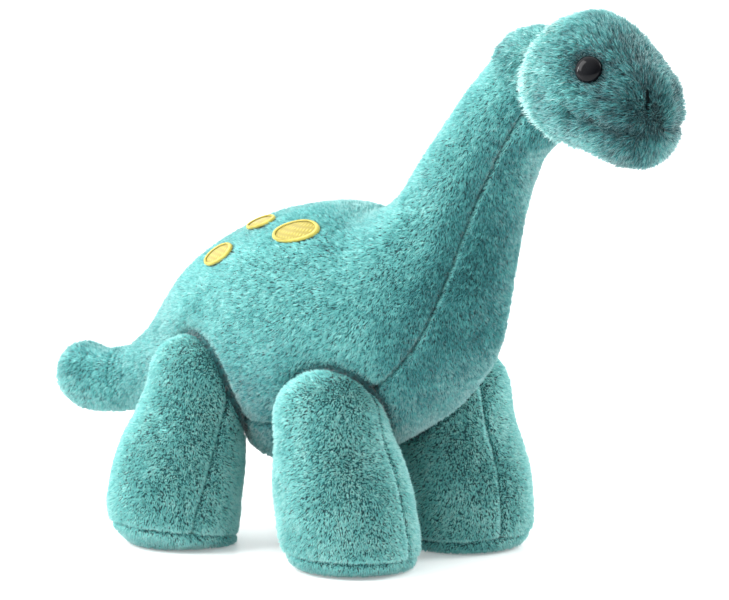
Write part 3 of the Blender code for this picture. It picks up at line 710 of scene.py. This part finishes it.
def tufts(panel, per_mm2, length, width, lean, shades, name, steps=1):
    r = sample(panel, per_mm2)
    p, n = r["p"], unit(r["n"])
    head = panel["kind"] == "head"
    keep = r["hidden"] > -0.4
    if not head and panel["kind"] == "body":
        keep &= spot_share(p) > 1.0
    if head:
        keep &= (r["eyes"] > EYE_R - 0.1) & (r["nostril"] > 0.5)
    p, n = p[keep], n[keep]
    r = {k: v[keep] for k, v in r.items()}
    count = len(p)
    # lay of the pile: along the groom, turned in patches, gathered into tufts
    g = r["groom"] - n * (r["groom"] * n).sum(1)[:, None]
    g = unit(g)
    side = np.cross(n, g)
    turn = 0.9 * noise(p, 17.0, 51) + 0.55 * noise(p, 6.0, 52) + 0.25 * rng.standard_normal(count)
    g = g * np.cos(turn)[:, None] + side * np.sin(turn)[:, None]
    tilt = np.radians(lean + 12 * noise(p, 11.0, 53) + 6 * rng.standard_normal(count))
    d = n * np.cos(tilt)[:, None] + g * np.sin(tilt)[:, None]
    spread, gather = (0.36, 1.3) if head else (0.55, 0.75)
    d = d + spread * noise3(p, gather, 60) + 0.09 * rng.standard_normal((count, 3))
    d = unit(d + n * 0.1)
    grain = 0.42 if head else 0.22 if panel["kind"] == "leg" else 0.32
    size = length * (1 + 0.16 * noise(p, 3.0, 57) + grain * noise(p, 0.8, 58)
                     + 0.12 * rng.standard_normal(count))
    size *= 0.5 + 0.5 * np.clip(r["seam"] / 1.8, 0, 1)
    if head:
        size *= 0.45 + 0.55 * np.clip((r["eyes"] - EYE_R) / 5.0, 0, 1)
        size *= 0.5 + 0.5 * np.clip(r["nostril"] / 2.2, 0, 1)
    size = np.clip(size, 0.3, 2 * length)
    w = width * (0.8 + 0.4 * rng.random(count))
    s1 = unit(np.cross(d, rng.standard_normal((count, 3))))
    s2 = np.cross(d, s1)
    root = p - n * 0.25
    rings = []
    levels = ((0.0, 1.0),) if steps == 1 else ((0.0, 1.0), (0.5, 0.72))
    sag = np.array((0, 0, -1.0)) * 0.16
    for share, wide in levels:
        middle = root + d * (size * share)[:, None]
        for k in range(3):
            a = 2 * math.pi * k / 3
            rings.append(middle + (s1 * math.cos(a) + s2 * math.sin(a)) * (w * wide * 0.5)[:, None])
    tip_dir = unit(d + sag) if steps == 1 else unit(d * 1.0 + g * 0.45 + sag)
    base = root + d * (size * levels[-1][0])[:, None]
    tip = base + tip_dir * (size * (1 - levels[-1][0]))[:, None]
    verts = np.stack(rings + [tip], 1)
    verts[..., 2] = np.maximum(verts[..., 2], 0.02)
    m = verts.shape[1]
    if steps == 1:
        pattern = np.array(((0, 1, 3), (1, 2, 3), (2, 0, 3)))
    else:
        pattern = np.array(((0, 1, 4), (0, 4, 3), (1, 2, 5), (1, 5, 4), (2, 0, 3), (2, 3, 5),
                            (3, 4, 6), (4, 5, 6), (5, 3, 6)))
    faces = (np.arange(count)[:, None, None] * m + pattern[None]).reshape(-1, 3)
    # which fibre tone a tuft takes: its panel's painted light and shade, random tone in patches, and the fine
    # noise that also shortens tufts, so shorter tufts in the pile's pits are darker as painted shade
    shade = (3.1 if head else 3.6) + r["tone"] + (1.0 if head else 0.6) * noise(p, 5.0, 71)
    shade += grain * 4.0 * noise(p, 0.8, 58) + 0.7 * rng.standard_normal(count)
    # painted shade along the seams and where parts meet
    shade -= 1.2 * bump(r["seam"], 0.8)
    shade = np.clip(np.round(shade), 0, len(shades) - 1).astype(np.int32)
    slots = np.repeat(shade, len(pattern))
    return mesh_from(name, verts.reshape(-1, 3), faces, shades, slots)


def skin(panel, name, material):
    """A panel's cloth, without what is buried in its neighbour."""
    p = panel["p"] - panel["n"] * 0.15
    rows, columns = p.shape[:2]
    faces = grid_faces(rows, columns)
    h = panel["hidden"]
    seen = (h[:-1, :-1] > -3.5) | (h[1:, 1:] > -3.5) | (h[:-1, 1:] > -3.5) | (h[1:, :-1] > -3.5)
    faces = faces[seen]
    if not panel.get("flip"):
        faces = faces[:, ::-1]
    used = np.zeros(rows * columns, bool)
    used[faces.ravel()] = True
    number = np.cumsum(used) - 1
    pts = p.reshape(-1, 3)[used].copy()
    pts[:, 2] = np.maximum(pts[:, 2], 0.0)
    return mesh_from(name, pts, number[faces], [material])


STANDS_FOR = {
    "body_left": ("body_left_panel",), "body_right": ("body_right_panel", "body_stuffing"),
    "chest_belly": ("chest_belly_panel",), "head_left": ("head_left_panel",),
    "head_right": ("head_right_panel", "head_stuffing"), "chin": ("chin_panel",),
}
PIVOTS = {"front": FRONT_PIVOT, "rear": REAR_PIVOT}


def attach(obj, panel):
    """Skins and piles of the body and legs are fixed in place; the head's ride the head."""
    if panel["kind"] == "leg":
        x, _, z = PIVOTS["front" if "front" in panel["body"] else "rear"]
        x, z = (x + FORWARD) * MM, z * MM
        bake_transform(obj)
    elif panel["kind"] == "body":
        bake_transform(obj)
    else:
        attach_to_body(obj, "head")


# tufts to a square millimetre, their length and width, and their lean in degrees
HEAD_PILE = (7.0, 2.5, 0.32, 42)
BODY_PILE = (8.0, 1.3, 0.36, 27)
SOLE_PILE = (8.0, 1.2, 0.36, 27)
DENSITY = 1.0
total = 0
for name, panel in panels.items():
    head = panel["kind"] == "head"
    cloth = skin(panel, "cloth_" + name, HEAD_BACKING_AND_SHADE if head else BODY_BACKING_AND_SHADE)
    facts = HEAD_PILE if head else SOLE_PILE if name.endswith("_sole") else BODY_PILE
    per_mm2, length, width, lean = facts
    pile = tufts(panel, per_mm2 * DENSITY, length, width, lean, HEAD_SHADES if head else BODY_SHADES,
                 "pile_" + name, steps=2 if head else 1)
    total += len(pile.data.polygons)
    if name in STANDS_FOR:
        nodes = STANDS_FOR[name]
    elif name.endswith("_sole"):
        nodes = (name,)
    elif name.endswith("_outer"):
        nodes = (name + "_panel", name.replace("_outer", "_stuffing"))
    else:
        nodes = (name + "_panel",)
    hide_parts(*nodes)
    for obj in (cloth, pile):
        attach(obj, panel)
print("pile faces", total)

# ---------------------------------------------------------------- eyes
black, tree, bsdf = new_material("eye_gloss")
bsdf.inputs["Base Color"].default_value = (0.004, 0.0045, 0.006, 1)
bsdf.inputs["Roughness"].default_value = 0.07
bsdf.inputs["Specular IOR Level"].default_value = 0.14
coord = tree.nodes.new("ShaderNodeTexCoord")
fine = tree.nodes.new("ShaderNodeTexNoise")
fine.inputs["Scale"].default_value = 700.0
spread = tree.nodes.new("ShaderNodeMapRange")
spread.inputs["To Min"].default_value = 0.02
spread.inputs["To Max"].default_value = 0.05
link(tree, coord.outputs["Object"], fine.inputs["Vector"])
link(tree, fine.outputs["Fac"], spread.inputs["Value"])
link(tree, spread.outputs["Result"], bsdf.inputs["Roughness"])


def lathe(name, profile, origin, axis, columns, material):
    z = unit(np.asarray(axis, float))
    x = unit(np.cross(z, (0, 0, 1.0)))
    y = np.cross(z, x)
    ang = np.linspace(0, 2 * math.pi, columns, endpoint=False)
    ring = np.cos(ang)[:, None] * x + np.sin(ang)[:, None] * y
    verts = np.vstack([np.asarray(origin) + z * h + r * ring for h, r in profile])
    return mesh_from(name, verts, ring_faces(len(profile), columns), [material])


for side, sgn in (("left", 1), ("right", -1)):
    m = np.array((1, sgn, 1))
    origin = EYE_AT * m + (FORWARD, 0, 0) - EYE_AXIS * m * 2.5
    profile = [(-1.6, 0.02), (-1.6, 2.6), (-0.9, 3.7), (-0.2, EYE_R - 0.12), (0.25, EYE_R)]
    profile += [(0.45 + 2.3 * math.sin(a), EYE_R * math.cos(a) ** 0.86)
                for a in np.radians(np.linspace(4, 89.6, 24))]
    eye = lathe("eye_button_" + side, profile, origin, EYE_AXIS * m, 72, black)
    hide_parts("eye_" + side, "eye_washer_" + side)
    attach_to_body(eye, "head")

# ---------------------------------------------------------------- stitched face
thread, tree, bsdf = new_material("thread_dark")
bsdf.inputs["Roughness"].default_value = 0.95
bsdf.inputs["Specular IOR Level"].default_value = 0.1
speckled(tree, bsdf, 2500.0, (0.0015, 0.003, 0.004, 1), (0.004, 0.010, 0.012, 1))


def on_head(points, out):
    pts = []
    for q in np.asarray(points, float):
        place, normal, _, _ = head_surface.tree.find_nearest(Vector(q))
        pts.append(np.array(place) + np.array(normal) * head_surface.sign * out)
    return np.array(pts)


def strand(path, radius, sides=8):
    """Verts and faces of a thread along a path, thinner at its ends."""
    path = np.asarray(path, float)
    tan = unit(np.gradient(path, axis=0))
    x = unit(np.cross(tan, (0.31, 0.27, 0.91)))
    y = np.cross(tan, x)
    k = len(path)
    s = np.linspace(0, 1, k)
    r = radius * np.clip(np.minimum(s, 1 - s) * 9 + 0.35, 0, 1)
    ang = np.linspace(0, 2 * math.pi, sides, endpoint=False)
    around = np.cos(ang)[None, :, None] * x[:, None] + np.sin(ang)[None, :, None] * y[:, None]
    v = path[:, None] + r[:, None, None] * around
    return v.reshape(-1, 3), ring_faces(k, sides)


def threads(name, paths, radius, material):
    verts, faces, base = [], [], 0
    for path in paths:
        v, f = strand(path, radius)
        verts.append(v)
        faces.append(f + base)
        base += len(v)
    return mesh_from(name, np.vstack(verts), np.vstack(faces), [material])


for side, sgn in (("left", 1), ("right", -1)):
    spine = np.array(NOSTRIL) * (1, sgn, 1) + (FORWARD, 0, 0)
    spine = smooth_rows(range(3), spine, np.linspace(0, 2, 12))
    across = np.array((0.55, -0.8 * sgn, 0.0))
    paths = [on_head(spine + across * o, -1.05 - 0.3 * abs(o)) for o in (-0.3, 0.0, 0.3)]
    nostril = threads("nostril_thread_" + side, paths, 0.3, thread)
    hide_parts("nostril_stitch_" + side)
    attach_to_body(nostril, "head")
smile_thread = threads("smile_thread", [on_head(smile_path, -2.9)], 0.25, thread)
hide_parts("smile_stitch")
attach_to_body(smile_thread, "head")

# ---------------------------------------------------------------- stitched spots
yellow, tree, bsdf = new_material("spot_weave")
coord = tree.nodes.new("ShaderNodeTexCoord")
waves = []
for axis, scale in (("X", 1500.0), ("Z", 1500.0)):
    w = tree.nodes.new("ShaderNodeTexWave")
    w.bands_direction = axis
    w.inputs["Scale"].default_value = scale / 6.283
    w.inputs["Distortion"].default_value = 1.2
    w.inputs["Detail"].default_value = 2.0
    link(tree, coord.outputs["Object"], w.inputs["Vector"])
    waves.append(w)
mixed = tree.nodes.new("ShaderNodeMath")
mixed.operation = "MULTIPLY"
link(tree, waves[0].outputs["Fac"], mixed.inputs[0])
link(tree, waves[1].outputs["Fac"], mixed.inputs[1])
ramp = tree.nodes.new("ShaderNodeValToRGB")
ramp.color_ramp.elements[0].color = srgb(146, 130, 16)
ramp.color_ramp.elements[1].color = srgb(178, 166, 46)
link(tree, mixed.outputs[0], ramp.inputs["Fac"])
link(tree, ramp.outputs["Color"], bsdf.inputs["Base Color"])
bmp = tree.nodes.new("ShaderNodeBump")
bmp.inputs["Strength"].default_value = 0.5
bmp.inputs["Distance"].default_value = 0.0003
link(tree, mixed.outputs[0], bmp.inputs["Height"])
link(tree, bmp.outputs["Normal"], bsdf.inputs["Normal"])
bsdf.inputs["Roughness"].default_value = 0.55
bsdf.inputs["Sheen Weight"].default_value = 0.3

satin, tree, bsdf = new_material("satin_yellow")
speckled(tree, bsdf, 600.0, srgb(178, 160, 46), srgb(206, 193, 96))
bsdf.inputs["Roughness"].default_value = 0.4
bsdf.inputs["Sheen Weight"].default_value = 0.2


def on_back(spot, a, b, out):
    """Points of a spot's oval, at shares a and b of its half length and width, above the back."""
    base = spot["c"] + spot["e1"] * (a * spot["a"])[..., None] + spot["e2"] * (b * spot["b"])[..., None]
    flat = base.reshape(-1, 3)
    res = np.zeros_like(flat)
    for k, q in enumerate(flat):
        place, normal, _, _ = body_surface.tree.find_nearest(Vector(q))
        o = out.reshape(-1)[k] if isinstance(out, np.ndarray) else out
        lift = lumps(np.array(place)[None])[0]
        res[k] = np.array(place) + np.array(normal) * body_surface.sign * (o + lift)
    return res.reshape(base.shape)


for s in spots:
    columns, rings = 64, 9
    ang = np.linspace(0, 2 * math.pi, columns, endpoint=False)
    share = np.linspace(0.02, 1.0, rings)
    rr, aa = np.meshgrid(share, ang, indexing="ij")
    height = -0.25 + 0.3 * (1 - rr**2) - 1.5 * np.clip(rr - 0.93, 0, 1)
    p = on_back(s, rr * np.cos(aa), rr * np.sin(aa), height)
    faces = ring_faces(rings, columns)
    if s["sgn"] < 0:
        faces = faces[:, ::-1]
    patch = mesh_from(s["name"] + "_cloth", p.reshape(-1, 3), faces, [yellow])
    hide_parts(s["name"])
    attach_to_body(patch, "body")
    around = 2 * math.pi * math.sqrt((s["a"] ** 2 + s["b"] ** 2) / 2)
    count = int(around / 0.42)
    paths = []
    for k in range(count):
        a0 = 2 * math.pi * k / count
        step = np.linspace(0.86, 1.03, 6)
        lift = -0.1 + 0.35 * np.sin(np.linspace(0.2, math.pi - 0.2, 6)) - 0.6 * np.linspace(0, 1, 6) ** 3
        a1 = a0 + 0.06 * (step - 0.94) / 0.1 * 0.3
        paths.append(on_back(s, step * np.cos(a1), step * np.sin(a1), lift))
    border = threads(s["name"] + "_border", paths, 0.24, satin)
    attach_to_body(border, "body")

# ---------------------------------------------------------------- floor, light and camera
floor_mat, tree, bsdf = new_material("floor_white")
bsdf.inputs["Base Color"].default_value = (0.93, 0.93, 0.93, 1)
bsdf.inputs["Roughness"].default_value = 0.45
bsdf.inputs["Specular IOR Level"].default_value = 0.3
bsdf.inputs["Emission Color"].default_value = (1, 1, 1, 1)
bsdf.inputs["Emission Strength"].default_value = 0.25
bpy.ops.mesh.primitive_plane_add(size=30, location=(0, 0, -0.0002))
floor = bpy.context.object
floor.name = "floor"
floor.data.materials.append(floor_mat)

AZ, EL = math.radians(44.5), math.radians(9.2)
forward = Vector((-math.sin(AZ) * math.cos(EL), math.cos(AZ) * math.cos(EL), -math.sin(EL)))
right = Vector((math.cos(AZ), math.sin(AZ), 0))
up = right.cross(forward)

world = bpy.data.worlds.new("studio")
bpy.context.scene.world = world
world.use_nodes = True
tree = world.node_tree
bg = tree.nodes["Background"]
geo = tree.nodes.new("ShaderNodeTexCoord")
dot = tree.nodes.new("ShaderNodeVectorMath")
dot.operation = "DOT_PRODUCT"
dot.inputs[1].default_value = (-right * 0.55 + forward * 0.70 + up * 0.45).normalized()
ramp = tree.nodes.new("ShaderNodeMapRange")
ramp.interpolation_type = "SMOOTHSTEP"
ramp.inputs["From Min"].default_value = -0.95
ramp.inputs["From Max"].default_value = 0.85
ramp.inputs["To Min"].default_value = 0.22
ramp.inputs["To Max"].default_value = 2.1
link(tree, geo.outputs["Generated"], dot.inputs[0])
link(tree, dot.outputs["Value"], ramp.inputs["Value"])
link(tree, ramp.outputs["Result"], bg.inputs["Strength"])
bg.inputs["Color"].default_value = (1, 1, 1, 1)


def softbox(name, place, aim, size, power):
    light = bpy.data.lights.new(name, "AREA")
    light.shape = "RECTANGLE"
    light.size, light.size_y = size
    light.energy = power
    obj = bpy.data.objects.new(name, light)
    bpy.context.scene.collection.objects.link(obj)
    obj.location = place
    obj.rotation_mode = "QUATERNION"
    obj.rotation_quaternion = (Vector(aim) - Vector(place)).to_track_quat("-Z", "Y")
    return obj


mid = Vector((0, 0, 0.09))
softbox("left_box", mid - right * 0.9 - forward * 0.25 + Vector((0, 0, 0.75)), mid, (0.6, 0.9), 12.5)
face = Vector((0.11, 0, 0.16))
softbox("eye_strip", face - right * 0.86 + up * 0.24, face, (0.03, 0.34), 2.4)
softbox("right_box", mid + right * 1.1 + forward * 0.3 + Vector((0, 0, 0.5)), mid, (0.5, 0.9), 12)

cam_data = bpy.data.cameras.new("camera")
cam_data.sensor_width = 36
cam_data.lens = 256.8
cam = bpy.data.objects.new("camera", cam_data)
bpy.context.scene.collection.objects.link(cam)
target = Vector((-0.0090, 0, 0.0775))
cam.location = target - forward * 1.612 + right * 0.01017 - up * 0.0018
cam.rotation_mode = "QUATERNION"
cam.rotation_quaternion = forward.to_track_quat("-Z", "Y")
cam_data.clip_start = 0.01
cam_data.clip_end = 100
bpy.context.scene.camera = cam
bpy.context.scene.view_settings.view_transform = "Standard"
